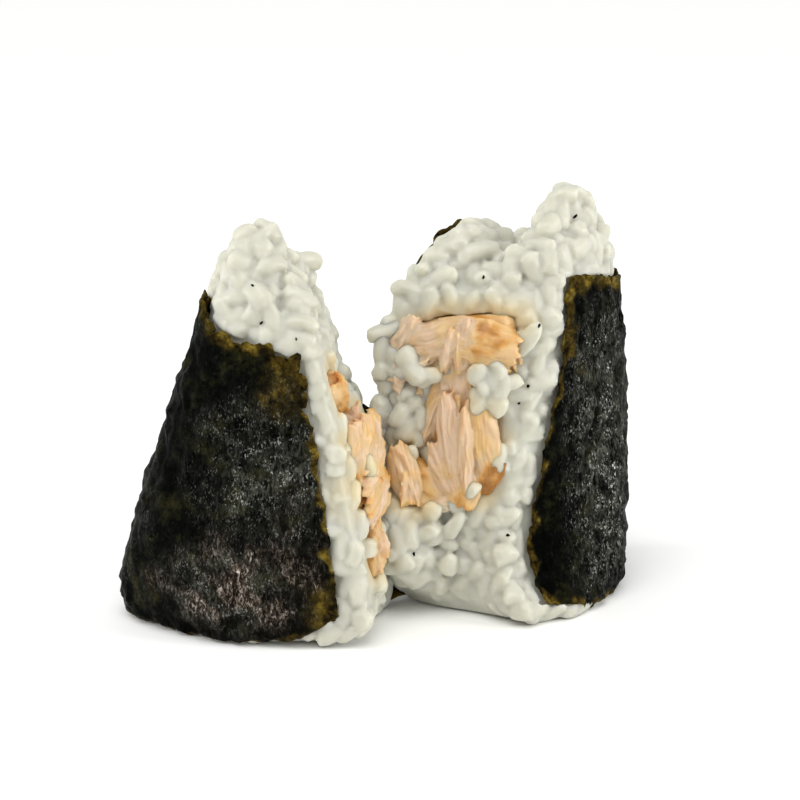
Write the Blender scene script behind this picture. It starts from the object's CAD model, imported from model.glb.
"""The looks of a triangular onigiri, pulled open down the middle and standing on its base.

Rice grains are heaped on a smaller core and drawn together into one sticky skin, the nori is
a wrinkled sheet with torn edges, and the salmon is a pile of ridged leaves. Lengths are in
metres. Places come from the loaded frame, whose +Z is up and whose -Y looks into the opening.
"""

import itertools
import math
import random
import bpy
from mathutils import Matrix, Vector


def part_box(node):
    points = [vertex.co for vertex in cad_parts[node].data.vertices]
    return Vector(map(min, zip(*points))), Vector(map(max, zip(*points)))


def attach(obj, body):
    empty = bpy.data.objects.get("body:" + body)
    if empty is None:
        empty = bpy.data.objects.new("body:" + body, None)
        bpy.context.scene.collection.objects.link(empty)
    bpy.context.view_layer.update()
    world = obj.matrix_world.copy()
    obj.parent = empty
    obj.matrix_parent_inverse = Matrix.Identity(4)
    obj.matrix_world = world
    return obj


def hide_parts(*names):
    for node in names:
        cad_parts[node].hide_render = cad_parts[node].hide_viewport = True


bl_info = {
    "name": "Parted Onigiri",
    "version": (1, 0, 0),
    "blender": (4, 5, 0),
    "location": "3D View > Sidebar > Onigiri",
    "description": "Dresses a parted rice ball with grains, nori and flaked salmon",
    "category": "Add Mesh",
}

from dataclasses import dataclass

import bmesh
import bpy
from bpy.props import FloatProperty, FloatVectorProperty, PointerProperty
from mathutils import Matrix, Vector, kdtree, noise
from mathutils.bvhtree import BVHTree

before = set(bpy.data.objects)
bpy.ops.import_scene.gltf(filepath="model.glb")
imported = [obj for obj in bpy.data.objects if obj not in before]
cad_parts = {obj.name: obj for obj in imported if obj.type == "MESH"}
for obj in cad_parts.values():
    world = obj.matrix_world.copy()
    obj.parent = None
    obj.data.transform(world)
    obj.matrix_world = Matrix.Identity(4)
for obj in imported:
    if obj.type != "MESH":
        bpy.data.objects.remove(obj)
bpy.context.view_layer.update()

MM = 0.001
SEED = 11
UP = Vector((0, 0, 1))

# Rays start this far off a surface, so that they miss the surface itself
RAY_START = 0.05 * MM
# The nori lies within this distance off the rice that it covers
NORI_REACH = 2 * MM
# What is laid on a torn face drops on it from this far off it (mm)
DROP = 20

SALMON_NODES = [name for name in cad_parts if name.startswith("salmon_")]

# Which way each torn face looks, seen from above
TORN_FACING = {
    "left": Vector((0.974, -0.225, 0)),
    "right": Vector((-0.284, -0.959, 0)),
}
# The upright plane through the spine that parts the rice into its two halves
SPINE_X = 1.6 * MM


# Colours, nodes and objects


def srgb(code):
    """A linear RGBA colour from an sRGB hex code such as "e8e6da"."""
    channels = [int(code[i : i + 2], 16) / 255 for i in (0, 2, 4)]
    linear = [c / 12.92 if c <= 0.04045 else ((c + 0.055) / 1.055) ** 2.4 for c in channels]
    return (*linear, 1.0)


def add_node(tree, kind, inputs=None, stops=None, **settings):
    """Adds a node. inputs maps sockets to values or to the sockets that feed them."""
    node = tree.nodes.new(kind)
    for name, value in settings.items():
        setattr(node, name, value)
    for socket, value in (inputs or {}).items():
        if isinstance(value, bpy.types.NodeSocket):
            tree.links.new(value, node.inputs[socket])
        else:
            node.inputs[socket].default_value = value
    if stops:
        ramp = node.color_ramp.elements
        while len(ramp) < len(stops):
            ramp.new(0.5)
        for element, (position, colour) in zip(ramp, stops):
            element.position = position
            element.color = colour
    return node


def new_material(name):
    """An empty material: its node tree, and its Principled shader joined to the output."""
    made = bpy.data.materials.new(name)
    made.use_nodes = True
    return made, made.node_tree, made.node_tree.nodes["Principled BSDF"]


def cad_copy(*nodes):
    """A bmesh copy of CAD nodes, with their loose triangles joined up."""
    bm = bmesh.new()
    for node in nodes:
        bm.from_mesh(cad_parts[node].data)
    bmesh.ops.remove_doubles(bm, verts=bm.verts, dist=0.001 * MM)
    return bm


def search_tree(*nodes):
    """A tree for finding the nearest point, or the first hit of a ray, on CAD nodes."""
    bm = cad_copy(*nodes)
    tree = BVHTree.FromBMesh(bm)
    bm.free()
    return tree


def add_object(name, mesh, material):
    """Links a finished mesh as a smooth shaded piece that rides with the rice ball."""
    mesh.name = name
    mesh.materials.clear()
    mesh.materials.append(material)
    mesh.shade_smooth()
    piece = bpy.data.objects.new(name, mesh)
    bpy.context.scene.collection.objects.link(piece)
    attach(piece, "root")
    return piece


def with_modifiers(bm, *steps):
    """Runs modifiers on a bmesh and returns the resulting mesh. Each step is (type, settings)."""
    mesh = bpy.data.meshes.new("work")
    bm.to_mesh(mesh)
    bm.free()
    work = bpy.data.objects.new("work", mesh)
    bpy.context.scene.collection.objects.link(work)
    for kind, settings in steps:
        modifier = work.modifiers.new(kind.lower(), kind)
        for name, value in settings.items():
            setattr(modifier, name, value)
    graph = bpy.context.evaluated_depsgraph_get()
    result = bpy.data.meshes.new_from_object(work.evaluated_get(graph))
    bpy.data.objects.remove(work)
    bpy.data.meshes.remove(mesh)
    return result


def sticky_skin(bm, voxel, softening, most_triangles):
    """One skin round all the overlapping forms, softened where they meet and thinned to at most
    that many triangles."""
    remesh = ("REMESH", {"mode": "VOXEL", "voxel_size": voxel})
    skin = with_modifiers(bm, remesh, ("SMOOTH", {"factor": 0.5, "iterations": softening}))
    triangles = sum(len(polygon.vertices) - 2 for polygon in skin.polygons)
    if triangles <= most_triangles:
        return skin
    bm = bmesh.new()
    bm.from_mesh(skin)
    bpy.data.meshes.remove(skin)
    return with_modifiers(bm, ("DECIMATE", {"ratio": most_triangles / triangles}))


def set_point_values(mesh, name, values):
    """Stores one number at each vertex, for the material to read."""
    attribute = mesh.attributes.new(name, "FLOAT", "POINT")
    attribute.data.foreach_set("value", values)


def evened(mesh, values, rounds):
    """The values of a mesh's vertices, each evened out with its neighbours' a few times."""
    edges = [tuple(edge.vertices) for edge in mesh.edges]
    for _ in range(rounds):
        sums, counts = list(values), [1] * len(values)
        for first, second in edges:
            sums[first] += values[second]
            sums[second] += values[first]
            counts[first] += 1
            counts[second] += 1
        values = [total / count for total, count in zip(sums, counts)]
    return values


def fade(distance, near, far):
    """1 up to near, falling smoothly to 0 at far."""
    t = min(1.0, max(0.0, (far - distance) / (far - near)))
    return t * t * (3 - 2 * t)


# Rice

GRAIN_TRIES = 14000
RICE_TRIANGLES = 185000


class OnigiriRice(bpy.types.PropertyGroup):
    grain_length: FloatProperty(
        name="Grain Length", description="Length of a cooked grain", default=6.9 * MM, unit="LENGTH"
    )
    grain_width: FloatProperty(
        name="Grain Width", description="Width of a cooked grain", default=3.0 * MM, unit="LENGTH"
    )
    unevenness: FloatProperty(
        name="Unevenness",
        description="How far a grain strays from a smooth oval",
        default=0.36 * MM,
        unit="LENGTH",
    )
    spacing: FloatProperty(
        name="Spacing", description="Least distance between grains", default=2.2 * MM, unit="LENGTH"
    )
    pressed: FloatProperty(
        name="Pressed Margin",
        description="How far from the nori the rice stays pressed",
        default=3.4 * MM,
        unit="LENGTH",
    )
    skin: FloatProperty(
        name="Skin Detail",
        description="Cell size of the sticky skin",
        default=0.26 * MM,
        unit="LENGTH",
    )
    colour: FloatVectorProperty(
        name="Colour", description="Steamed rice", subtype="COLOR", size=4, default=srgb("c1c0b3")
    )


def steamed_rice(look):
    """Steamed short-grain rice: starchy and translucent, so light blurs inside each grain and
    its wet skin gives small soft highlights. Near the salmon its oil tints the grains."""
    made, tree, shader = new_material("steamed_rice")
    place = add_node(tree, "ShaderNodeTexCoord").outputs["Object"]
    cloud = add_node(tree, "ShaderNodeTexNoise", {"Vector": place, "Scale": 260.0, "Detail": 3.0})
    stops = [(0.35, srgb("b9b8aa")), (0.65, look.colour[:])]
    tones = add_node(tree, "ShaderNodeValToRGB", {"Fac": cloud.outputs["Fac"]}, stops)
    near = add_node(tree, "ShaderNodeAttribute", attribute_name="salmon_near").outputs["Fac"]
    oil = {"Factor": near, 6: tones.outputs["Color"], 7: srgb("c9bb98")}
    oiled = add_node(tree, "ShaderNodeMix", oil, data_type="RGBA")
    grit = add_node(tree, "ShaderNodeTexNoise", {"Vector": place, "Scale": 900.0, "Detail": 2.0})
    relief = {"Height": grit.outputs["Fac"], "Strength": 0.12, "Distance": 0.2 * MM}
    bump = add_node(tree, "ShaderNodeBump", relief)
    tree.links.new(oiled.outputs[2], shader.inputs["Base Color"])
    tree.links.new(bump.outputs["Normal"], shader.inputs["Normal"])
    shader.inputs["Roughness"].default_value = 0.38
    shader.inputs["IOR"].default_value = 1.36
    shader.inputs["Subsurface Weight"].default_value = 1.0
    shader.inputs["Subsurface Radius"].default_value = (1.0, 0.95, 0.75)
    shader.inputs["Subsurface Scale"].default_value = 3.5 * MM
    return made


def add_grain(bm, look, centre, out, along, tilt, rng):
    """Adds one cooked grain that lies along a direction, a little bent and slimmer at one end.
    More than half of them are broken. out points off the heap, and tilt tips the grain up."""
    verts = bmesh.ops.create_icosphere(bm, subdivisions=2, radius=1.04)["verts"]
    broken = rng.uniform(0.5, 0.85) if rng.random() < 0.55 else 1.0
    length = look.grain_length * rng.uniform(0.86, 1.14) * broken / 2
    width = look.grain_width * rng.uniform(0.85, 1.3) / 2
    flat = rng.uniform(0.8, 1.0)
    bend = rng.uniform(-0.07, 0.07) * look.grain_length
    phase = Vector((rng.uniform(0, 90), rng.uniform(0, 90), 0))
    for vert in verts:
        x, y, z = vert.co
        slim = 1 - 0.16 * x
        round_off = (max(0.0, 1 - abs(x) ** 3) / (1 - x * x)) ** 0.5 if abs(x) < 0.98 else 1.0
        uneven = noise.noise_vector(vert.co * 2.1 + phase) * look.unevenness
        vert.co = uneven + Vector((
            x * (1 - 0.1 * abs(x) ** 6) * length,
            y * width * round_off * slim + bend * (x * x - 0.35),
            z * width * flat * round_off * slim,
        ))
    along = (along - out * along.dot(out)).normalized()
    turned = Matrix((along, out.cross(along), out)).transposed() @ Matrix.Rotation(tilt, 3, "Y")
    bmesh.ops.transform(bm, verts=verts, matrix=Matrix.Translation(centre) @ turned.to_4x4())


def any_direction(rng):
    """A random direction, all equally likely."""
    return Vector((rng.gauss(0, 1), rng.gauss(0, 1), rng.gauss(0, 1))).normalized()


def spaced_out(candidates, spacing):
    """The candidates, each a point and what goes with it, that lie no closer than spacing to
    one that was taken before."""
    cells, taken = {}, []
    for point, thing in candidates:
        cell = [math.floor(value / spacing) for value in point]
        around = (
            cells.get(tuple(at + step for at, step in zip(cell, steps)), ())
            for steps in itertools.product((-1, 0, 1), repeat=3)
        )
        if any((point - other).length < spacing for group in around for other in group):
            continue
        cells.setdefault(tuple(cell), []).append(point.copy())
        taken.append((point, thing))
    return taken


def spots_on(bm, rng, tries):
    """Random spots all over a bmesh of triangles: (point, normal)."""
    faces = list(bm.faces)
    for face in rng.choices(faces, weights=[face.calc_area() for face in faces], k=tries):
        a, b, c = (vert.co for vert in face.verts)
        u, v = rng.random(), rng.random()
        if u + v > 1:
            u, v = 1 - u, 1 - v
        normal = sum((vert.normal for vert in face.verts), Vector()).normalized()
        yield a + (b - a) * u + (c - a) * v, normal


def is_torn(side, normal, least=0.6):
    """Whether a surface that looks along normal belongs to the torn face."""
    return normal.dot(TORN_FACING[side]) > least


def rice_half(side):
    """A bmesh of one half of the CAD rice, closed along the spine."""
    bm = cad_copy("rice")
    away = Vector((1, 0, 0)) if side == "left" else Vector((-1, 0, 0))
    cut = bmesh.ops.bisect_plane(
        bm,
        geom=bm.verts[:] + bm.edges[:] + bm.faces[:],
        plane_co=(SPINE_X, 0, 0),
        plane_no=away,
        clear_outer=True,
    )
    edges = [item for item in cut["geom_cut"] if isinstance(item, bmesh.types.BMEdge)]
    bmesh.ops.holes_fill(bm, edges=edges, sides=0)
    bmesh.ops.triangulate(bm, faces=bm.faces)
    bm.normal_update()
    return bm


def shrink_core(bm, side, nori, salmon):
    """Draws the core in under the grains and the nori, and fills it out round the salmon."""
    moves = {}
    for vert in bm.verts:
        covered = nori.ray_cast(vert.co + vert.normal * RAY_START, vert.normal, NORI_REACH)[0]
        depth = (0.6 if covered is None else 0.8) * MM
        filled = 2.2 if is_torn(side, vert.normal, 0.85) else 1.0
        depth *= 1 - filled * fade(salmon.find_nearest(vert.co)[3], 2.5 * MM, 7 * MM)
        if vert.co.z < 0.5 * MM:
            depth = 0.0
        moves[vert] = vert.normal * -depth
    for vert, move in moves.items():
        vert.co += move


# A loose grain sinks this far into what it lies on (mm)
LOOSE_SINK = 0.9
# Grains that lie on the salmon or stand off the heap, by the salmon node they are placed by: how
# far across, up and out from its middle (mm), their heading (degrees) and relative length
LOOSE_GRAINS = [
    ("salmon_right_cap", [
        (-13.4, -1.2, 0.8, 88, 1.0), (-13.2, -5.0, 0.8, 70, 0.9), (-12.6, 2.6, 0.6, 80, 0.9),
        (-11.2, -2.8, 0.8, 110, 0.9), (-8.6, -2.2, 2.6, 60, 0.9), (-7.4, -4.4, 2.8, 130, 0.8),
        (-4.9, -5.2, 2.6, 10, 0.8), (-8.9, 1.8, 1.8, 100, 0.8),
    ]),
    ("salmon_right_fibres", [
        (-7.0, 3.4, 1.8, 80, 1.0), (-7.6, 0.4, 1.8, 100, 0.9), (-10.4, 3.8, 1.2, 60, 0.9),
        (-9.8, 7.4, 1.4, 30, 0.9), (2.8, 11.9, 4.2, 70, 0.65), (6.0, 12.3, 4.0, 100, 0.7),
        (3.9, 9.8, 4.2, 20, 0.6), (6.9, 9.5, 4.0, 60, 0.7), (8.4, 10.6, 3.4, 110, 0.7),
        (5.8, 6.8, 3.6, 150, 0.75), (2.9, 8.0, 3.6, 110, 0.6), (3.0, 6.3, 3.2, 10, 0.6),
        (9.9, 17.2, 2.6, 48, 1.1), (5.9, -2.4, 2.6, 80, 0.8), (2.3, -7.7, 3.0, 140, 0.8),
        (-0.2, -10.2, 2.4, 25, 0.9), (-4.4, -11.8, 2.2, 150, 0.8), (-0.7, -14.2, 2.1, 60, 0.9),
        (-5.3, -15.6, 1.7, 20, 0.9), (-8.0, -20.2, 1.7, 10, 0.9), (-1.6, -21.2, 1.7, 80, 0.9),
        (-9.5, 1.5, 1.3, 70, 0.9), (-8.2, 6.0, 1.4, 120, 0.8), (-9.0, -3.5, 1.3, 60, 0.9),
        (-12.0, -1.0, 1.1, 100, 0.9),
    ]),
    ("salmon_right_cap", [
        (-9.0, -4.0, 2.1, 40, 0.9), (-6.0, -5.6, 2.1, 100, 0.7), (9.6, 1.0, 2.2, 70, 0.9),
    ]),
    ("salmon_left_slab", [
        (-7.2, 9.0, 1.6, 80, 0.8), (-6.9, 5.6, 1.8, 60, 0.7), (-7.0, 2.6, 1.6, 100, 0.7),
        (-7.2, -1.6, 1.6, 70, 0.8), (-6.6, -7.0, 1.6, 90, 0.9),
    ]),
    ("salmon_left_tail", [
        (-2.8, 2.6, 1.8, 90, 0.8), (4.4, 3.6, 2.2, 80, 0.8), (-0.6, -4.2, 2.0, 60, 0.8),
    ]),
    ("salmon_right_fibres", [
        (5.0, 10.6, 3.2, 100, 0.8), (5.2, 8.8, 3.0, 40, 0.8),
    ]),
    ("salmon_right_cap", [
        (-6.4, 6.0, 0.7, 70, 0.9), (-2.8, 7.0, 0.9, 105, 0.9), (0.9, 6.6, 0.6, 60, 0.8),
        (4.4, 7.4, 0.9, 115, 0.9), (7.2, 6.0, 0.7, 80, 0.8), (-4.6, 9.8, 0.6, 35, 0.9),
        (2.2, 9.9, 0.6, 15, 0.9),
    ]),
]


def torn_axes(side):
    """A torn face's own axes, as columns: across it, up it and off it."""
    facing = TORN_FACING[side]
    return Matrix((UP.cross(facing), UP, facing)).transposed()


def middle(node):
    """The middle of a CAD node's box."""
    low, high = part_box(node)
    return (Vector(low) + Vector(high)) / 2


def place_loose_grain(bm, look, side, node, grain, trees, rng):
    """Lays one grain on the torn face at a chosen place, or nearer the middle of the flake where
    the face has already ended."""
    across, up, lift, heading, length = grain
    axes, facing = torn_axes(side), TORN_FACING[side]
    for nudge in range(8):
        above = middle(node) + axes @ (Vector((across * (1 - 0.04 * nudge), up, DROP)) * MM)
        hits = [tree.ray_cast(above, -facing)[0] for tree in trees]
        hits = [hit for hit in hits if hit is not None]
        if hits:
            break
    else:
        raise RuntimeError(f"no torn face under the grain at {across}, {up} on {node}")
    on = max(hits, key=lambda hit: hit.dot(facing))
    heading = math.radians(heading)
    along = axes @ Vector((math.cos(heading), math.sin(heading), 0))
    own = bmesh.new()
    add_grain(own, look, Vector(), facing, along, 0.0, rng)
    for vert in own.verts:
        vert.co += along * vert.co.dot(along) * (length - 1)
    bmesh.ops.translate(own, verts=own.verts, vec=on + facing * (lift - LOOSE_SINK) * MM)
    mesh = bpy.data.meshes.new("grain")
    own.to_mesh(mesh)
    bm.from_mesh(mesh)
    own.free()
    bpy.data.meshes.remove(mesh)


def heap_grain(bm, look, side, point, normal, edge, rng):
    """Adds one grain where it meets the heap, at a distance from the nori's edge. Its middle sinks
    in, and in a clump less so. Grains are pressed in along the nori and at the back corner."""
    torn = is_torn(side, normal)
    along = any_direction(rng)
    tilt = rng.gauss(0, 0.2 if torn else 0.12)
    sink = rng.uniform(0.5, 1.3) * MM if torn else rng.uniform(0.8, 1.2) * MM
    clump = noise.noise(point / (9 * MM)) * (1.2 * MM if torn else 0.5 * MM)
    if side == "left" and torn:
        sink = rng.uniform(1.0, 1.5) * MM
        clump *= 0.4
    if edge < look.pressed:
        tilt *= 0.3
        sink = (1.1 if torn or normal.y < -0.5 else 1.4) * MM
        clump = 0.0
    if side == "right" and normal.x < -0.4 and point.z > 30 * MM:
        tilt *= 0.3
        sink = 1.7 * MM
        clump = 0.0
    centre = point - normal * (sink - clump)
    if centre.z < look.grain_width * 0.5:
        centre.z = look.grain_width * 0.5
        tilt *= 0.3
    add_grain(bm, look, centre, normal, along, tilt, rng)


def dress_rice(side, look, material):
    """One half of the rice: grains heaped on the core, drawn together into one skin."""
    rng = random.Random(f"{SEED}-{side}")
    rice, nori, salmon = search_tree("rice"), search_tree("nori"), search_tree(*SALMON_NODES)
    bm = rice_half(side)
    points = spaced_out(spots_on(bm, rng, GRAIN_TRIES), look.spacing)
    shrink_core(bm, side, nori, salmon)
    for point, normal in points:
        start = point + normal * RAY_START
        if nori.ray_cast(start, normal, NORI_REACH)[0] or salmon.ray_cast(start, normal, MM)[0]:
            continue
        underneath = normal.z < -0.75
        on_the_cut = abs(point.x - SPINE_X) < 0.05 * MM
        edge = nori.find_nearest(point)[3]
        if not (underneath or on_the_cut or edge < 0.6 * MM):
            heap_grain(bm, look, side, point, normal, edge, rng)
    for node, grains in LOOSE_GRAINS:
        if side in node:
            for grain in grains:
                place_loose_grain(bm, look, side, node, grain, (rice, salmon), rng)
    mesh = sticky_skin(bm, look.skin, softening=5, most_triangles=RICE_TRIANGLES)
    hold_under_nori(mesh, rice, nori)
    set_down(mesh)
    tint_by_salmon(mesh, salmon)
    piece = add_object(f"rice_{side}", mesh, material)
    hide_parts("rice")


def hold_under_nori(mesh, rice, nori):
    """Keeps the rice inside the sheet wherever the sheet covers it."""
    inside = 0.5 * MM
    for vert in mesh.vertices:
        on, normal, _, _ = rice.find_nearest(vert.co)
        if (vert.co - on).dot(normal) < -inside:
            continue
        if nori.ray_cast(on + normal * RAY_START, normal, NORI_REACH)[0] is not None:
            vert.co = on - normal * inside


def set_down(mesh):
    """Flattens the foot of the rice where it rests on the floor."""
    for vert in mesh.vertices:
        vert.co.z = max(0.0, vert.co.z)


def tint_by_salmon(mesh, salmon):
    """Marks how near each part of the rice lies to the salmon."""
    values = []
    for vert in mesh.vertices:
        distance = salmon.find_nearest(vert.co)[3]
        ragged = noise.noise(vert.co / (4 * MM)) * 1.6 * MM
        values.append(fade(distance + ragged, 0.8 * MM, 4.5 * MM))
    set_point_values(mesh, "salmon_near", values)


class ONIGIRI_OT_rice(bpy.types.Operator):
    """Heap the rice of both halves"""

    bl_idname = "onigiri.rice"
    bl_label = "Rice"

    def execute(self, context):
        look = context.scene.onigiri_rice
        material = steamed_rice(look)
        for side in ("left", "right"):
            dress_rice(side, look, material)
        return {"FINISHED"}


# Nori


class OnigiriNori(bpy.types.PropertyGroup):
    thickness: FloatProperty(
        name="Thickness", description="Thickness of the sheet", default=0.25 * MM, unit="LENGTH"
    )
    raggedness: FloatProperty(
        name="Raggedness",
        description="How far its torn edges wander",
        default=0.9 * MM,
        unit="LENGTH",
    )
    colour: FloatVectorProperty(
        name="Colour", description="Toasted nori", subtype="COLOR", size=4, default=srgb("040503")
    )


def toasted_nori(look):
    """Toasted nori, pressed seaweed that has drawn moisture from the rice: nearly black green,
    brown and olive where it is thin or torn, with folds whose crests glint in fine specks."""
    made, tree, shader = new_material("toasted_nori")
    place = add_node(tree, "ShaderNodeTexCoord").outputs["Object"]
    crest, glint, soft, edge = (
        add_node(tree, "ShaderNodeAttribute", attribute_name=name).outputs["Fac"]
        for name in SHEET_MARKS
    )
    # Crackle and specks run along the sheet's fibres, which lean this way
    along = {"Vector": place, "Rotation": (0.0, math.radians(-40), 0.0)}
    fibres, fine = (
        add_node(tree, "ShaderNodeMapping", {**along, "Scale": scale}).outputs["Vector"]
        for scale in ((1500.0, 1500.0, 620.0), (3300.0, 3300.0, 1700.0))
    )
    # Each pattern's vector, scale, detail, roughness and distortion
    patterns = {
        "blotch": (place, 190.0, 8.0, 0.72, 0.0),
        "crackle": (fibres, 1.0, 6.0, 0.75, 0.5),
        "speck": (fine, 1.0, 4.0, 0.7, 0.0),
        "drift": (place, 420.0, 3.0, 0.5, 0.0),
        "grit": (fibres, 1.1, 6.0, 0.8, 0.8),
        "fringe": (place, 420.0, 5.0, 0.7, 0.0),
        "folds": (place, 700.0, 6.0, 0.75, 0.6),
    }
    sockets = ("Vector", "Scale", "Detail", "Roughness", "Distortion")
    for name, values in patterns.items():
        pattern = add_node(tree, "ShaderNodeTexNoise", dict(zip(sockets, values)))
        patterns[name] = pattern.outputs["Fac"]
    # Parts of a pattern that show: from where they start to where they are full
    shown = {}
    for name, low, high in (("crackle", 0.44, 0.64), ("drift", 0.42, 0.62), ("speck", 0.55, 0.65)):
        span = {"Value": patterns[name], "From Min": low, "From Max": high}
        shown[name] = add_node(tree, "ShaderNodeMapRange", span).outputs["Result"]
    # Light shows where three things meet: a dull sheen on crackled crests, and drifts of specks
    light = {
        "sheen": (glint, crest, shown["crackle"]),
        "specks": (glint, shown["drift"], shown["speck"]),
    }
    for name, (first, second, third) in light.items():
        both = add_node(tree, "ShaderNodeMath", {0: first, 1: second}, operation="MULTIPLY")
        factors = {0: both.outputs["Value"], 1: third}
        product = add_node(tree, "ShaderNodeMath", factors, operation="MULTIPLY")
        light[name] = product.outputs["Value"]
    # Ground colour, the brown of soft thin parts, and the olive fringe where light comes through
    ramps = {
        "blotch": [(0.4, "010201"), (0.52, None), (0.62, "1d1d0d"), (0.72, "3a3218")],
        "grit": [(0.4, "040303"), (0.5, "30271f"), (0.58, "82766b"), (0.66, "e6e0da")],
        "fringe": [(0.38, "140f06"), (0.52, "4a3c14"), (0.66, "86722c"), (0.76, "a8965a")],
    }
    for name, stops in ramps.items():
        stops = [(at, srgb(code) if code else look.colour[:]) for at, code in stops]
        tones = add_node(tree, "ShaderNodeValToRGB", {"Fac": patterns[name]}, stops)
        ramps[name] = tones.outputs["Color"]
    colour = ramps["blotch"]
    for share, over in (
        (light["sheen"], srgb("585a50")),
        (light["specks"], srgb("cccdc4")),
        (soft, ramps["grit"]),
        (edge, ramps["fringe"]),
    ):
        laid = {"Factor": share, 6: colour, 7: over}
        colour = add_node(tree, "ShaderNodeMix", laid, data_type="RGBA").outputs[2]
    relief = {"Height": patterns["folds"], "Strength": 1.0, "Distance": 0.7 * MM}
    bump = add_node(tree, "ShaderNodeBump", relief)
    tree.links.new(colour, shader.inputs["Base Color"])
    tree.links.new(bump.outputs["Normal"], shader.inputs["Normal"])
    shader.inputs["Roughness"].default_value = 0.3
    shader.inputs["Specular IOR Level"].default_value = 0.014
    return made


def outer_sheet():
    """The outer skin of the CAD nori as an open mesh of quads.

    Each vertex of its inner skin has a partner just outside it, farther from the rice."""
    bm = cad_copy("nori")
    rice = search_tree("rice")
    bm.verts.ensure_lookup_table()
    tree = kdtree.KDTree(len(bm.verts))
    for vert in bm.verts:
        tree.insert(vert.co, vert.index)
    tree.balance()
    off_rice = [rice.find_nearest(vert.co)[3] for vert in bm.verts]
    inner = [
        vert
        for vert in bm.verts
        if off_rice[vert.index] < off_rice[tree.find_n(vert.co, 2)[1][1]]
    ]
    bmesh.ops.delete(bm, geom=inner, context="VERTS")
    flat_enough, square_enough = math.radians(60), math.radians(80)
    bmesh.ops.join_triangles(
        bm, faces=bm.faces, angle_face_threshold=flat_enough, angle_shape_threshold=square_enough
    )
    bm.normal_update()
    known = {*bm.verts, *bm.edges, *bm.faces}
    turn_in_hem(bm)
    raise_back_edge(bm)
    steady_order(bm, known)
    bm.normal_update()
    return bm


def by_position(pairs, at):
    """The value at a position, in straight steps through the pairs and level past the ends."""
    if at <= pairs[0][0]:
        return pairs[0][1]
    for (start, low), (end, high) in zip(pairs, pairs[1:]):
        if at <= end:
            return low + (high - low) * (at - start) / (end - start)
    return pairs[-1][1]


def pulled_edges(bm, chosen):
    """Extrudes the sheet's open edges between chosen vertices and returns (new, old) pairs."""
    border = [edge for edge in bm.edges if edge.is_boundary]
    edges = [edge for edge in border if all(chosen(vert) for vert in edge.verts)]
    old = {vert for edge in edges for vert in edge.verts}
    made = bmesh.ops.extrude_edge_only(bm, edges=edges)["geom"]
    new = [item for item in made if isinstance(item, bmesh.types.BMVert)]
    return [(vert, min(old, key=lambda other: (other.co - vert.co).length)) for vert in new]


def steady_order(bm, known):
    """Sorts the new parts of a bmesh by place, among themselves. Extruding makes them in another
    order each time, and the random draws that come later follow the order."""
    slant = Vector((1, 0.618, 0.377))

    def place(part):
        return sum(vert.co.dot(slant) for vert in getattr(part, "verts", (part,)))

    for parts in (bm.verts, bm.edges, bm.faces):
        order = {part: at for at, part in enumerate(parts)}
        new = [part for part in parts if part not in known]
        order.update({part: order[taken] for part, taken in zip(sorted(new, key=place), new)})
        parts.sort(key=order.get)


def turn_in_hem(bm):
    """Carries the sheet down to the floor and a little under the rounded foot."""
    for new, old in pulled_edges(bm, lambda vert: vert.co.z < 6.5 * MM and vert.normal.z < 0.3):
        inward = Vector((-old.normal.x, -old.normal.y, 0)).normalized()
        new.co = old.co + inward * 1.3 * MM
        new.co.z = max(0.35 * MM, old.co.z - 1.6 * MM)


def raise_back_edge(bm):
    """Lets the torn sheet stand up behind the right half, clear of the rice."""

    def behind_right(vert):
        return 2 * MM < vert.co.x < 24 * MM and vert.co.y > -4 * MM and vert.co.z > 44 * MM

    for new, old in pulled_edges(bm, behind_right):
        top = by_position(BACK_EDGE, old.co.x / MM) * MM
        new.co = old.co + Vector((0, 0, max(0.8 * MM, top - old.co.z)))
        new.co += Vector((-0.8, 0.6, 0)) * 0.5 * MM


# Height of the sheet behind the right half, by its place from left to right (mm)
BACK_EDGE = [
    (3.0, 50.5), (5.6, 55.5), (7.3, 59.0), (9.9, 62.3), (14.6, 64.2), (17, 62.5), (21, 59.5),
]


def edge_distances(bm):
    """How far each vertex lies from the sheet's open edges, by vertex."""
    border = [vert for vert in bm.verts if vert.is_boundary]
    tree = kdtree.KDTree(len(border))
    for index, vert in enumerate(border):
        tree.insert(vert.co, index)
    tree.balance()
    return {vert: tree.find(vert.co)[2] for vert in bm.verts}


def grain_prints(bm, spacing, rng):
    """Presses the rice's grains out into the sheet, as long low bumps at random headings."""
    verts = list(bm.verts)
    rng.shuffle(verts)
    centres = [vert for _, vert in spaced_out(((vert.co, vert) for vert in verts), spacing)]
    tree = kdtree.KDTree(len(centres))
    headings = []
    for index, vert in enumerate(centres):
        tree.insert(vert.co, index)
        side = vert.normal.orthogonal().normalized()
        along = Matrix.Rotation(rng.uniform(0, math.tau), 3, vert.normal) @ side
        headings.append((along, vert.normal.cross(along), rng.uniform(0.4, 1.0)))
    tree.balance()
    heights = {}
    for vert in bm.verts:
        highest = 0.0
        for centre, index, _ in tree.find_range(vert.co, 5 * MM):
            along, across, strength = headings[index]
            offset = vert.co - centre
            u, v = offset.dot(along) / (3.0 * MM), offset.dot(across) / (1.3 * MM)
            highest = max(highest, strength * math.exp(-(u**4 + v**2)))
        heights[vert] = highest
    return heights


# What each point of the sheet is marked with, for its material: a crest, a glossy part, a part
# that has gone soft and brown, and nearness to a torn edge
SHEET_MARKS = ("crest", "glint", "soft", "edge_near")

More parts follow.
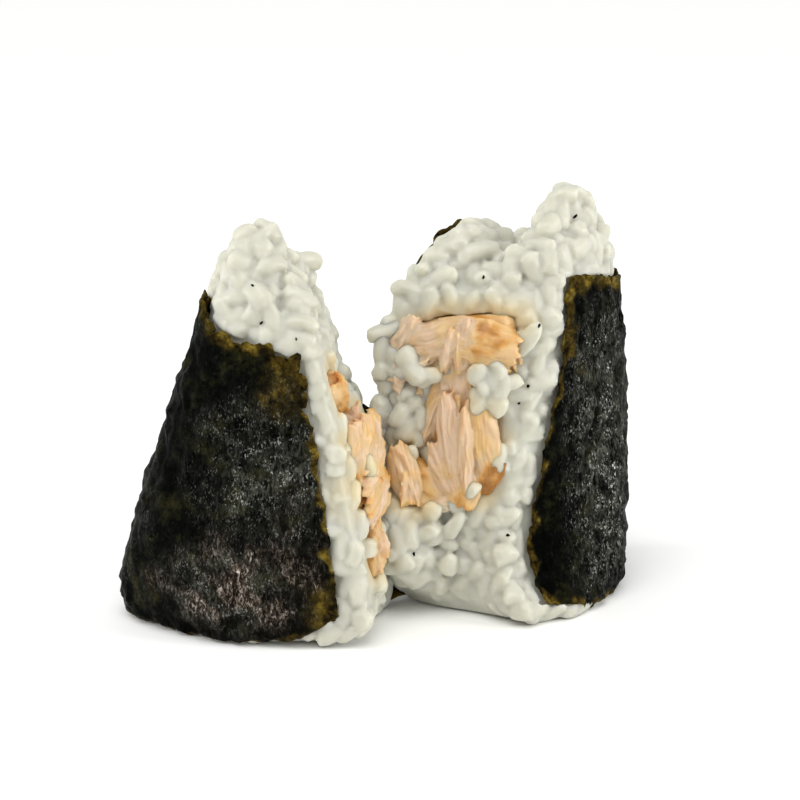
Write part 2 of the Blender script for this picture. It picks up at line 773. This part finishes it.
# Regions of the sheet: centre, half sizes (mm) and strength
SOFT_REGIONS = [
    ((-22, -27, 9), (15, 14, 11), 1.0),
    ((-36, -24, 6), (6, 12, 7), 0.5),
    ((-12, -30, 22), (8, 8, 9), 0.25),
    ((22, 22, 12), (12, 12, 10), 0.6),
]
BROWN_REGIONS = [
    ((33, -22, 52), (4, 8, 8), 0.75),
    ((20, -14, 4), (6, 8, 4), 0.8),
    ((-8, -27, 6), (4, 6, 6), 0.6),
    ((-14, -24, 43), (6, 6, 5), 0.5),
]
GLINT_REGIONS = [
    ((-18, -25, 30), (14, 14, 14), 0.6),
    ((-26, -27, 10), (13, 14, 8), 0.7),
    ((-42, -10, 22), (7, 20, 22), 0.12),
    ((-10, -25, 42), (8, 12, 8), 0.4),
    ((42, -10, 30), (11, 22, 34), 1.0),
    ((33, -25, 12), (10, 12, 10), 0.4),
    ((0, 27, 25), (30, 12, 22), 0.45),
]


def region_strength(regions, place):
    """How strongly a place belongs to any of the regions, with blurred uneven limits."""
    best = 0.0
    uneven = 1.15 + 1.1 * noise.noise(place / (5 * MM)) + 0.7 * noise.noise(place / (1.8 * MM))
    for centre, halves, strength in regions:
        away = sum(((place[i] / MM - centre[i]) / halves[i]) ** 2 for i in range(3)) ** 0.5
        best = max(best, strength * fade(away, 0.2, 1.2) * uneven)
    return max(0.0, min(1.0, best))


def wrinkle_sheet(bm, look, rng):
    """Grain prints, soft folds and fine creases, with the edges torn unevenly."""
    prints = grain_prints(bm, 3.4 * MM, rng)
    distances = edge_distances(bm)
    moves, crests = {}, {}
    for vert in bm.verts:
        place = vert.co
        fold = noise.noise(place / (7 * MM)) * 0.35
        crease = abs(noise.noise(place / (3.4 * MM) + Vector((5, 0, 0)))) * -0.6
        fine = abs(noise.noise(place / (1.2 * MM))) * -0.22
        # Long creases run down the right half and lean on the left, deepest round the right side
        lean = Vector((0.1, 0, 1) if place.x > 0 else (0.6, 0, 0.8)).normalized()
        stretched = place - lean * place.dot(lean) * 0.72
        depth = -0.75 if place.x > 24 * MM else -0.4
        streak = abs(noise.noise(stretched / (1.7 * MM) + Vector((0, 9, 0)))) * depth
        rise = (prints[vert] * 0.6 + fold + crease + fine + streak) * MM
        height = prints[vert] * 0.5 + crease + fine + streak
        crests[vert] = max(0.2, min(1.0, 0.8 + height * 1.4))
        loose = fade(distances[vert], 0.0, 3.5 * MM)
        torn = 2.6 if place.x < 0 and place.z > 40 * MM else 1.0
        wander = noise.noise_vector(place / (2.6 * MM)) * look.raggedness * 0.9 * torn
        wander += noise.noise_vector(place / (0.9 * MM)) * look.raggedness * 0.4 * torn
        if place.z < 3 * MM:
            wander *= 0.3
        wander -= vert.normal * wander.dot(vert.normal) * 0.7
        moves[vert] = vert.normal * rise + wander * loose
    for vert, move in moves.items():
        vert.co += move
    return distances, crests


def mark_sheet(layers, distances, crests):
    """Marks the crests, the glossy and soft parts and the torn edges, for the material."""
    for vert, distance in distances.items():
        ragged = noise.noise(vert.co / (3 * MM)) * 2.2 * MM
        # The olive edge is wide where the sheet is torn at the top, and thin elsewhere
        edge_width = (3.0 if vert.co.z > 44 * MM else 0.8) * MM
        near = fade(distance + ragged, 0.2 * MM, edge_width)
        vert[layers["edge_near"]] = max(near, region_strength(BROWN_REGIONS, vert.co))
        hump = min(1.0, max(0.1, 0.72 + 2.4 * noise.noise(vert.co / (4.2 * MM))))
        foot = fade(vert.co.z, 3.0 * MM, 7.0 * MM)
        soft = region_strength(SOFT_REGIONS, vert.co) * hump * (1 - 0.85 * foot)
        vert[layers["soft"]] = soft
        glossy = 1.6 if vert.co.x > 30 * MM else 1.0
        vert[layers["glint"]] = 0.02 + region_strength(GLINT_REGIONS, vert.co) * glossy
        vert[layers["crest"]] = crests[vert]


# Crumbs of nori that stick to the rice, by where they show from the front (mm)
CRUMBS = [
    (26.5, 50.6), (24.9, 40.1), (23.4, 37.2), (21.7, 15.1), (33.2, 66.0), (-20.0, 60.0),
    (-18.6, 54.2), (-13.0, 52.0), (29.5, 33.0), (6.0, 12.0), (17.5, 57.5),
]


def nori_crumbs(material, rng):
    """Small dark crumbs of nori on the rice."""
    trees = []
    for side in TORN_FACING:
        skin = bmesh.new()
        skin.from_mesh(bpy.data.objects[f"rice_{side}"].data)
        trees.append(BVHTree.FromBMesh(skin))
        skin.free()
    bm = bmesh.new()
    for x, z in CRUMBS:
        start = Vector((x, -60, z)) * MM
        hits = [tree.ray_cast(start, Vector((0, 1, 0))) for tree in trees]
        hits = [(hit[0], hit[1]) for hit in hits if hit[0] is not None]
        if not hits:
            raise RuntimeError(f"no rice behind the crumb at {x}, {z}")
        on, normal = min(hits, key=lambda hit: hit[0].y)
        verts = bmesh.ops.create_icosphere(bm, subdivisions=2, radius=1.0)["verts"]
        size = Vector((rng.uniform(0.25, 0.5), rng.uniform(0.15, 0.3), 0.1)) * MM
        spin = Matrix.Rotation(rng.uniform(0, math.tau), 3, "Z")
        turned = normal.to_track_quat("Z", "Y").to_matrix() @ spin
        for vert in verts:
            uneven = 1 + 0.5 * noise.noise(vert.co * 1.6 + Vector((x, z, 0)))
            vert.co = on + turned @ Vector([vert.co[i] * size[i] * uneven for i in range(3)])
    mesh = bpy.data.meshes.new("nori_crumbs")
    bm.to_mesh(mesh)
    bm.free()
    return add_object("nori_crumbs", mesh, material)


class ONIGIRI_OT_nori(bpy.types.Operator):
    """Wrap the wrinkled sheet of nori"""

    bl_idname = "onigiri.nori"
    bl_label = "Nori"

    def execute(self, context):
        look = context.scene.onigiri_nori
        rng = random.Random(f"{SEED}-nori")
        mesh = with_modifiers(outer_sheet(), ("SUBSURF", {"levels": 3, "render_levels": 3}))
        bm = bmesh.new()
        bm.from_mesh(mesh)
        bpy.data.meshes.remove(mesh)
        layers = {name: bm.verts.layers.float.new(name) for name in SHEET_MARKS}
        bm.normal_update()
        distances, crests = wrinkle_sheet(bm, look, rng)
        mark_sheet(layers, distances, crests)
        solidify = {"thickness": look.thickness, "offset": -1.0, "use_rim": True}
        mesh = with_modifiers(bm, ("SOLIDIFY", solidify))
        material = toasted_nori(look)
        piece = add_object("nori_sheet", mesh, material)
        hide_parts("nori")
        crumbs = nori_crumbs(material, rng)
        return {"FINISHED"}


# Salmon


class OnigiriSalmon(bpy.types.PropertyGroup):
    fibre: FloatProperty(
        name="Fibre", description="Width of one ridge of fibres", default=0.6 * MM, unit="LENGTH"
    )
    ridge: FloatProperty(
        name="Ridge", description="How far the fibres stand up", default=0.05 * MM, unit="LENGTH"
    )
    skin: FloatProperty(
        name="Skin Detail", description="Cell size of the flesh", default=0.2 * MM, unit="LENGTH"
    )
    colour: FloatVectorProperty(
        name="Colour", description="Cooked salmon", subtype="COLOR", size=4, default=srgb("cbaf89")
    )


def cooked_salmon(look):
    """Cooked salmon: pale orange flesh in fibres, pinker inside, with oil that gathers orange
    in its creases and under its leaves. Light blurs a little under its moist surface."""
    made, tree, shader = new_material("cooked_salmon")
    place = add_node(tree, "ShaderNodeTexCoord").outputs["Object"]
    tone, covered, crease = (
        add_node(tree, "ShaderNodeAttribute", attribute_name=name).outputs["Fac"]
        for name in ("tone", "covered", "crease")
    )
    patch = add_node(tree, "ShaderNodeTexNoise", {"Vector": place, "Scale": 220.0, "Detail": 4.0})
    uneven = {0: patch.outputs["Fac"], 1: 0.45, 2: tone}
    shifted = add_node(tree, "ShaderNodeMath", uneven, operation="MULTIPLY_ADD")
    stops = [
        (0.0, srgb("95610f")),
        (0.2, srgb("c08d44")),
        (0.42, srgb("d0ae76")),
        (0.68, look.colour[:]),
        (1.0, srgb("cdb59a")),
    ]
    tones = add_node(tree, "ShaderNodeValToRGB", {"Fac": shifted.outputs["Value"]}, stops)
    # Oil gathers where leaves lie over each other, and darkens the lines between fibres
    gathered = {0: crease, 1: 0.12, 2: covered}
    oil = add_node(tree, "ShaderNodeMath", gathered, operation="MULTIPLY_ADD").outputs["Value"]
    colour = tones.outputs["Color"]
    for source, low, high, most, over in (
        (oil, 0.2, 1.0, 0.7, srgb("b0661a")),
        (crease, 0.25, 0.95, 0.3, srgb("bf8448")),
    ):
        span = {"Value": source, "From Min": low, "From Max": high, "To Min": 0.0, "To Max": most}
        share = add_node(tree, "ShaderNodeMapRange", span).outputs["Result"]
        laid = {"Factor": share, 6: colour, 7: over}
        colour = add_node(tree, "ShaderNodeMix", laid, data_type="RGBA").outputs[2]
    grain = add_node(tree, "ShaderNodeTexNoise", {"Vector": place, "Scale": 1300.0, "Detail": 3.0})
    relief = {"Height": grain.outputs["Fac"], "Strength": 0.25, "Distance": 0.2 * MM}
    bump = add_node(tree, "ShaderNodeBump", relief)
    tree.links.new(colour, shader.inputs["Base Color"])
    tree.links.new(bump.outputs["Normal"], shader.inputs["Normal"])
    shader.inputs["Roughness"].default_value = 0.4
    shader.inputs["Subsurface Weight"].default_value = 0.7
    shader.inputs["Subsurface Radius"].default_value = (1.0, 0.55, 0.3)
    shader.inputs["Subsurface Scale"].default_value = 1.6 * MM
    return made


SALMON_TRIANGLES = 150000
# How far the flakes under the leaves swell, and their tone on the scale of Leaf.tone
FLAKE_SWELL = 0.15 * MM
FLAKE_TONE = 0.35
# The plate inside a leaf, as a part of the leaf's thickness
LEAF_PLATE = 0.55


def add_leaf(bm, side, node, leaf, flakes, rice, rng):
    """Adds one leaf of salmon, whose fibres run along it, on the flakes or the rice. Returns
    the matrix that lays it there."""
    length, width, thickness = (size * MM for size in leaf.size)
    verts = bmesh.ops.create_grid(bm, x_segments=26, y_segments=18, size=0.5)["verts"]
    faces = list(dict.fromkeys(face for vert in verts for face in vert.link_faces))
    phase = Vector((rng.uniform(0, 50), rng.uniform(0, 50), 0))

    def uneven(along, beside, level=0):
        return noise.noise(Vector((along, beside, level)) + phase)

    for vert in verts:
        along, beside = vert.co.x * 2, vert.co.y * 2
        narrow = 1 - leaf.pointed * abs(along) ** 2.4 + 0.12 * uneven(along * 2, 0)
        y = beside * width / 2 * narrow * (1 + leaf.fan * along)
        fray = uneven(0, beside * 3) + 0.6 * uneven(0, beside * 9, 5)
        x = along * length / 2 * (1 + leaf.frayed * fray * abs(along) ** 4 - 0.12 * beside * beside)
        bow = leaf.curl * MM * (along * along * 0.5 + beside * beside)
        rough = uneven(along * 2, beside * 3, 7) * 0.6 * MM
        rough += uneven(along * 5, beside * 9, 3) * 0.25 * MM
        twist = leaf.twist * MM * along * beside
        vert.co = Vector((x, y, rough + twist - bow))
    made = bmesh.ops.solidify(bm, geom=faces, thickness=-thickness * LEAF_PLATE)["geom"]
    every = {item for item in made if isinstance(item, bmesh.types.BMVert)} | set(verts)
    axes, facing = torn_axes(side), TORN_FACING[side]
    across, up, lift = leaf.place
    above = middle(node) + axes @ (Vector((across, up, DROP)) * MM)
    on = flakes.ray_cast(above, -facing)[0] or rice.ray_cast(above, -facing)[0]
    turned = axes
    for angle, axis in ((leaf.spin, "Z"), (leaf.roll, "X"), (leaf.pitch, "Y")):
        turned = turned @ Matrix.Rotation(math.radians(angle), 3, axis)
    laid = Matrix.Translation(on + facing * lift * MM) @ turned.to_4x4()
    bmesh.ops.transform(bm, verts=list(every), matrix=laid)
    return laid


def raise_fibres(mesh, look, laid):
    """Raises the fibres along each leaf, and gives each part of the flesh its leaf's tone. laid
    holds (leaf, matrix into the leaf's own axes, points), with no leaf for the flakes."""
    tree = kdtree.KDTree(sum(len(points) for _, _, points in laid))
    for index, (_, _, points) in enumerate(laid):
        for point in points:
            tree.insert(point, index)
    tree.balance()
    own_tones = [leaf.tone if leaf else FLAKE_TONE for leaf, _, _ in laid]
    tones, creases, moves = [], [], []
    for vert in mesh.vertices:
        near = [index for _, index, _ in tree.find_n(vert.co, 9)]
        tone = sum(own_tones[index] for index in near) / len(near)
        leaf, inverse, _ = laid[near[0]]
        if leaf is None:
            tones.append(tone)
            creases.append(0.0)
            moves.append(Vector())
            continue
        own = inverse @ vert.co
        along = own.x / (5 * MM)
        drift = 1.3 * noise.noise(Vector((along, own.y / (2.2 * MM), near[0])))
        ridge = math.cos(math.tau * (own.y / look.fibre + drift))
        strength = 0.6 + 1.2 * noise.noise(Vector((along, own.y / (2 * MM), near[0] + 9)))
        strength = min(1.0, max(0.0, strength))
        tip = min(1.0, abs(own.x) / (leaf.size[0] * MM / 2)) ** 4
        tones.append(tone + 0.35 * noise.noise(vert.co / (3 * MM)) - 0.3 * tip)
        creases.append((0.5 - 0.5 * ridge) * strength)
        moves.append(vert.normal * ridge * strength * look.ridge)
    for vert, move in zip(mesh.vertices, moves):
        vert.co += move
    set_point_values(mesh, "tone", evened(mesh, tones, rounds=5))
    set_point_values(mesh, "crease", creases)


@dataclass
class Leaf:
    """A leaf of salmon on a flake. Sizes are in millimetres, angles in degrees."""

    place: tuple  # across, up and out from the flake's middle
    size: tuple  # along the fibres, across them, thickness
    spin: float  # the fibres' heading in the torn face: 0 is level, 90 upright
    tone: float  # 0 orange and oily, 0.5 pale peach, 1 pink
    roll: float = 0.0  # about its fibres
    pitch: float = 0.0  # end over end
    curl: float = 0.7
    pointed: float = 0.35
    fan: float = 0.0
    twist: float = 0.0
    frayed: float = 0.2


# The leaves by the flake they lie on
LEAVES = {
    "salmon_right_cap": [
        # The fan at the top of the right half
        Leaf((2.6, 0.3, 0.9), (14.5, 8.8, 2.6), -12, 0.5, roll=-8, curl=2.2, pointed=0.22, fan=0.1),
        Leaf((7.6, -2.6, 0.1), (6.0, 4.2, 1.6), -58, 0.1, roll=6, curl=1.3),
        Leaf((-4.6, -0.2, 0.8), (9.5, 7.4, 2.4), 24, 0.6, roll=6, curl=2.0, pointed=0.3),
        Leaf((-2.0, -0.6, 1.2), (7.6, 2.6, 1.4), 78, 0.8, roll=-10, curl=1.2),
        Leaf((-0.1, -1.2, 1.2), (7.0, 1.7, 1.2), 92, 0.65, curl=1.1),
        # Pale shreds left of the fan, on the rice
        Leaf((-9.6, 0.6, 1.6), (8.5, 4.2, 1.2), 62, 0.9, roll=10, curl=1.6, frayed=0.4),
        Leaf((-8.4, -4.6, 2.0), (8.0, 3.4, 1.0), 30, 0.95, roll=8, curl=1.5, frayed=0.4),
        Leaf((-10.4, -6.0, 1.8), (5.5, 2.2, 0.9), 96, 0.95, roll=-8, curl=1.2, frayed=0.4),
    ],
    "salmon_right_fibres": [
        # The flat pink panel between fan and column
        Leaf((-0.6, 8.8, 0.9), (11.0, 7.8, 1.8), 96, 0.8, curl=0.5, pointed=0.15),
        Leaf((2.6, 7.6, 1.2), (10.0, 3.6, 1.8), 102, 0.55, curl=0.9),
        Leaf((-4.6, 9.0, 0.3), (9.5, 5.4, 1.6), 70, 0.35, curl=0.7),
        Leaf((-7.4, 8.0, 0.6), (8.0, 2.2, 0.8), 40, 0.45, curl=0.9, twist=1.0, frayed=0.25),
        Leaf((-9.6, 10.5, 0.6), (7.0, 2.0, 0.8), -20, 0.5, curl=0.9, twist=-1.0, frayed=0.25),
        # The column of upright fibres
        Leaf((-4.9, 3.0, 1.5), (9.5, 3.6, 1.0), 68, 0.6, roll=24, curl=0.9),
        Leaf((-3.2, 2.4, 0.5), (8.5, 3.6, 1.6), 84, 0.05, curl=0.6),
        Leaf((-1.4, 0.4, 1.5), (16.5, 4.8, 2.4), 97, 0.8, curl=1.1, twist=0.5, pointed=0.55),
        Leaf((-2.8, -4.4, 1.3), (9.5, 4.4, 1.8), 114, 0.7, curl=0.8, fan=-0.2),
        Leaf((1.2, -1.0, 1.5), (15, 2.8, 1.8), 92, 0.65, curl=0.9, pointed=0.5),
        Leaf((3.5, 0.2, 0.9), (15, 6.2, 2.4), 97, 0.35, roll=-12, curl=1.6),
        Leaf((4.0, -5.0, 0.9), (6.5, 6.0, 2.0), 60, -0.5, roll=-10, curl=1.1, pointed=0.2),
        Leaf((0.6, -7.8, 1.0), (6.5, 6.0, 2.0), 80, 0.25, pitch=14, curl=1.0, pointed=0.2),
    ],
    "salmon_right_wedge": [
        # The lower left flake and the small one that curls over it
        Leaf((0.0, 1.8, 0.7), (10.5, 5.4, 2.0), 106, 0.45, roll=12, curl=1.1),
        Leaf((3.0, 0.2, 0.5), (9.5, 4.0, 1.6), 124, 0.15, roll=-10, curl=0.9),
        Leaf((2.2, -3.4, 0.5), (7.5, 4.6, 1.8), 146, 0.2, curl=1.0),
        Leaf((5.4, -3.0, 1.9), (5.8, 3.4, 0.8), 16, 0.6, roll=-34, pitch=-8, curl=1.6),
    ],
    "salmon_left_cap": [
        Leaf((0.4, 0.2, 0.0), (7, 5.0, 1.6), 118, 0.34, curl=1.1, pointed=0.3),
    ],
    "salmon_left_slab": [
        Leaf((-5.0, 3.8, 0.1), (12, 5.0, 2.0), 92, 0.17, roll=-8, curl=1.0),
        Leaf((-5.2, -3.0, -0.3), (9, 4.6, 1.8), 80, -0.08, roll=-6, curl=0.8),
        Leaf((-2.2, 5.2, 0.5), (10, 5.6, 1.8), 60, 0.41, curl=1.1),
        Leaf((-1.8, 0.6, 0.7), (12, 5.0, 1.8), 40, 0.39, curl=1.1, fan=0.2),
        Leaf((-1.4, -3.2, 0.5), (11, 5.0, 1.8), 24, 0.37, curl=1.1, fan=0.25),
        Leaf((2.6, 5.4, 0.4), (9, 4.8, 1.6), 34, 0.46, curl=1.1, fan=0.3, frayed=0.3),
        Leaf((3.4, 1.0, 0.4), (9, 5.0, 1.6), 20, 0.44, curl=1.1, fan=0.3, frayed=0.3),
        Leaf((3.0, -4.0, 0.3), (9, 4.8, 1.6), 8, 0.44, curl=1.1, fan=0.3, frayed=0.3),
        Leaf((0.6, -7.6, 0.2), (10, 5.0, 1.8), 64, 0.46, curl=1.1),
    ],
    "salmon_left_tail": [
        Leaf((0.6, 2.4, 0.0), (7.5, 4.6, 1.6), 78, 0.27, curl=1.0),
        Leaf((0.2, -1.6, -0.1), (8.5, 3.6, 1.6), 100, 0.08, curl=0.9),
    ],
}


# Where small shreds lie: the node, how many, their heading, and their spread across and up (mm)
SHREDS = {
    "left": [("salmon_left_slab", 26, 40, 4.5, 9.0), ("salmon_left_tail", 6, 84, 2.0, 3.6)],
    "right": [
        ("salmon_right_cap", 7, 70, 4.0, 2.6),
        ("salmon_right_fibres", 40, 94, 4.2, 10.5),
        ("salmon_right_wedge", 12, 112, 2.4, 4.6),
    ],
}


def leaves_of(side, rng):
    """The leaves on one side's flakes, and then small shreds that break them up, each with the
    node it is placed by."""
    shreds = []
    for node, count, heading, across, up in SHREDS[side]:
        for _ in range(count):
            shred = Leaf(
                place=(rng.uniform(-across, across), rng.uniform(-up, up), rng.uniform(0.3, 1.5)),
                size=(rng.uniform(3.0, 7.0), rng.uniform(0.9, 2.2), rng.uniform(0.6, 1.2)),
                roll=rng.gauss(0, 14),
                pitch=rng.gauss(0, 7),
                curl=rng.uniform(0.4, 1.0),
                spin=heading + rng.gauss(0, 14),
                tone=rng.uniform(0.2, 0.85),
                frayed=0.25,
                pointed=0.5,
            )
            shreds.append((node, shred))
    return [(node, leaf) for node in LEAVES if side in node for leaf in LEAVES[node]] + shreds


def mark_covered(mesh, side):
    """Marks where a leaf lies over the surface, which is where the oil gathers."""
    bm = bmesh.new()
    bm.from_mesh(mesh)
    bm.normal_update()
    tree = BVHTree.FromBMesh(bm)
    facing = TORN_FACING[side]
    across = UP.cross(facing)
    # Rays look straight off the torn face, up, down and to both sides, this far
    slants = [(facing + lean * 0.6).normalized() for lean in (Vector(), UP, -UP, across, -across)]
    off_skin, reach = 0.06 * MM, 2.5 * MM
    values = []
    for vert in bm.verts:
        start = vert.co + vert.normal * off_skin
        hits = [tree.ray_cast(start, slant, reach)[0] is not None for slant in slants]
        values.append(sum(hits) / len(hits))
    bm.free()
    set_point_values(mesh, "covered", evened(mesh, values, rounds=2))


class ONIGIRI_OT_salmon(bpy.types.Operator):
    """Lay the flaked salmon in both torn faces"""

    bl_idname = "onigiri.salmon"
    bl_label = "Salmon"

    def execute(self, context):
        look = context.scene.onigiri_salmon
        material = cooked_salmon(look)
        for side in ("left", "right"):
            rng = random.Random(f"{SEED}-salmon-{side}")
            nodes = [name for name in SALMON_NODES if side in name]
            flakes, rice = search_tree(*nodes), search_tree("rice")
            bm = cad_copy(*nodes)
            for vert in bm.verts:
                vert.co += vert.normal * FLAKE_SWELL
            laid = [(None, Matrix.Identity(4), [vert.co.copy() for vert in bm.verts])]
            for node, leaf in leaves_of(side, rng):
                before = len(bm.verts)
                matrix = add_leaf(bm, side, node, leaf, flakes, rice, rng)
                bm.verts.ensure_lookup_table()
                points = [vert.co.copy() for vert in bm.verts[before:]]
                laid.append((leaf, matrix.inverted(), points))
            bmesh.ops.recalc_face_normals(bm, faces=bm.faces)
            mesh = sticky_skin(bm, look.skin, softening=4, most_triangles=SALMON_TRIANGLES)
            raise_fibres(mesh, look, laid)
            mark_covered(mesh, side)
            piece = add_object(f"salmon_{side}", mesh, material)
            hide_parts(*nodes)
        return {"FINISHED"}


# Stage


class OnigiriStage(bpy.types.PropertyGroup):
    elevation: FloatProperty(
        name="Elevation",
        description="Camera angle above the floor",
        default=math.radians(15),
        subtype="ANGLE",
    )
    distance: FloatProperty(
        name="Distance", description="Camera distance", default=450 * MM, unit="LENGTH"
    )
    aim: FloatProperty(
        name="Aim", description="Height the camera looks at", default=36.3 * MM, unit="LENGTH"
    )
    lens: FloatProperty(name="Lens", description="Focal length in millimetres", default=119.5)


def add_light(name, place, target, size, power):
    """Adds a soft round light that looks at the target."""
    data = bpy.data.lights.new(name, "AREA")
    data.shape = "DISK"
    data.size = size
    data.energy = power
    light = bpy.data.objects.new(name, data)
    light.location = place
    light.rotation_euler = (target - place).to_track_quat("-Z", "Y").to_euler()
    bpy.context.scene.collection.objects.link(light)


class ONIGIRI_OT_stage(bpy.types.Operator):
    """Set the floor, the light and the camera"""

    bl_idname = "onigiri.stage"
    bl_label = "Stage"

    def execute(self, context):
        scene = context.scene
        look = scene.onigiri_stage
        target = Vector((0, 0, look.aim))

        floor_material, _, shader = new_material("matt_white_card")
        shader.inputs["Base Color"].default_value = srgb("f4f4f2")
        shader.inputs["Roughness"].default_value = 0.9
        bm = bmesh.new()
        bmesh.ops.create_grid(bm, x_segments=1, y_segments=1, size=3.0)
        bmesh.ops.translate(bm, verts=bm.verts, vec=(0, 0, -0.1 * MM))
        mesh = bpy.data.meshes.new("floor")
        bm.to_mesh(mesh)
        bm.free()
        mesh.materials.append(floor_material)
        floor = bpy.data.objects.new("floor", mesh)
        scene.collection.objects.link(floor)

        world = bpy.data.worlds.new("soft_room")
        world.use_nodes = True
        world.node_tree.nodes["Background"].inputs["Color"].default_value = srgb("ffffff")
        world.node_tree.nodes["Background"].inputs["Strength"].default_value = 0.6
        scene.world = world
        scene.view_settings.view_transform = "Standard"

        sun = bpy.data.lights.new("soft_sky", "SUN")
        sun.energy = 1.75
        sun.angle = math.radians(50)
        sky = bpy.data.objects.new("soft_sky", sun)
        sky.rotation_euler = (math.radians(28), math.radians(-8), 0)
        scene.collection.objects.link(sky)
        add_light("left_strip", target + Vector((-0.6, -0.1, 0.2)), target, 0.25, 1.6)
        add_light("right_strip", target + Vector((0.6, -0.2, 0.2)), target, 0.25, 2.0)

        data = bpy.data.cameras.new("camera")
        data.lens = look.lens
        data.sensor_width = 36
        data.shift_x = 0.0275
        data.shift_y = -0.0075
        data.clip_start = 0.01
        camera = bpy.data.objects.new("camera", data)
        sight = Vector((0, math.cos(look.elevation), -math.sin(look.elevation)))
        camera.location = target - sight * look.distance
        camera.rotation_euler = sight.to_track_quat("-Z", "Y").to_euler()
        scene.collection.objects.link(camera)
        scene.camera = camera
        return {"FINISHED"}


# Panel and running


class ONIGIRI_PT_pieces(bpy.types.Panel):
    """The rice ball's pieces and their settings"""

    bl_idname = "ONIGIRI_PT_pieces"
    bl_label = "Onigiri"
    bl_space_type = "VIEW_3D"
    bl_region_type = "UI"
    bl_category = "Onigiri"

    def draw(self, context):
        for operator, group in STEPS:
            box = self.layout.box()
            box.operator(operator)
            settings = getattr(context.scene, group)
            for name in settings.bl_rna.properties.keys():
                if name not in {"rna_type", "name"}:
                    box.prop(settings, name)


STEPS = [
    ("onigiri.rice", "onigiri_rice"),
    ("onigiri.nori", "onigiri_nori"),
    ("onigiri.salmon", "onigiri_salmon"),
    ("onigiri.stage", "onigiri_stage"),
]
GROUPS = {
    "onigiri_rice": OnigiriRice,
    "onigiri_nori": OnigiriNori,
    "onigiri_salmon": OnigiriSalmon,
    "onigiri_stage": OnigiriStage,
}
CLASSES = [
    ONIGIRI_OT_rice,
    ONIGIRI_OT_nori,
    ONIGIRI_OT_salmon,
    ONIGIRI_OT_stage,
    ONIGIRI_PT_pieces,
]


def register():
    for name, group in GROUPS.items():
        bpy.utils.register_class(group)
        setattr(bpy.types.Scene, name, PointerProperty(type=group))
    for made in CLASSES:
        bpy.utils.register_class(made)


def unregister():
    for made in reversed(CLASSES):
        bpy.utils.unregister_class(made)
    for name, group in GROUPS.items():
        delattr(bpy.types.Scene, name)
        bpy.utils.unregister_class(group)


def main():
    register()
    noise.seed_set(SEED)
    bpy.ops.onigiri.rice()
    bpy.ops.onigiri.nori()
    bpy.ops.onigiri.salmon()
    bpy.ops.onigiri.stage()


if __name__ == "__main__":
    main()
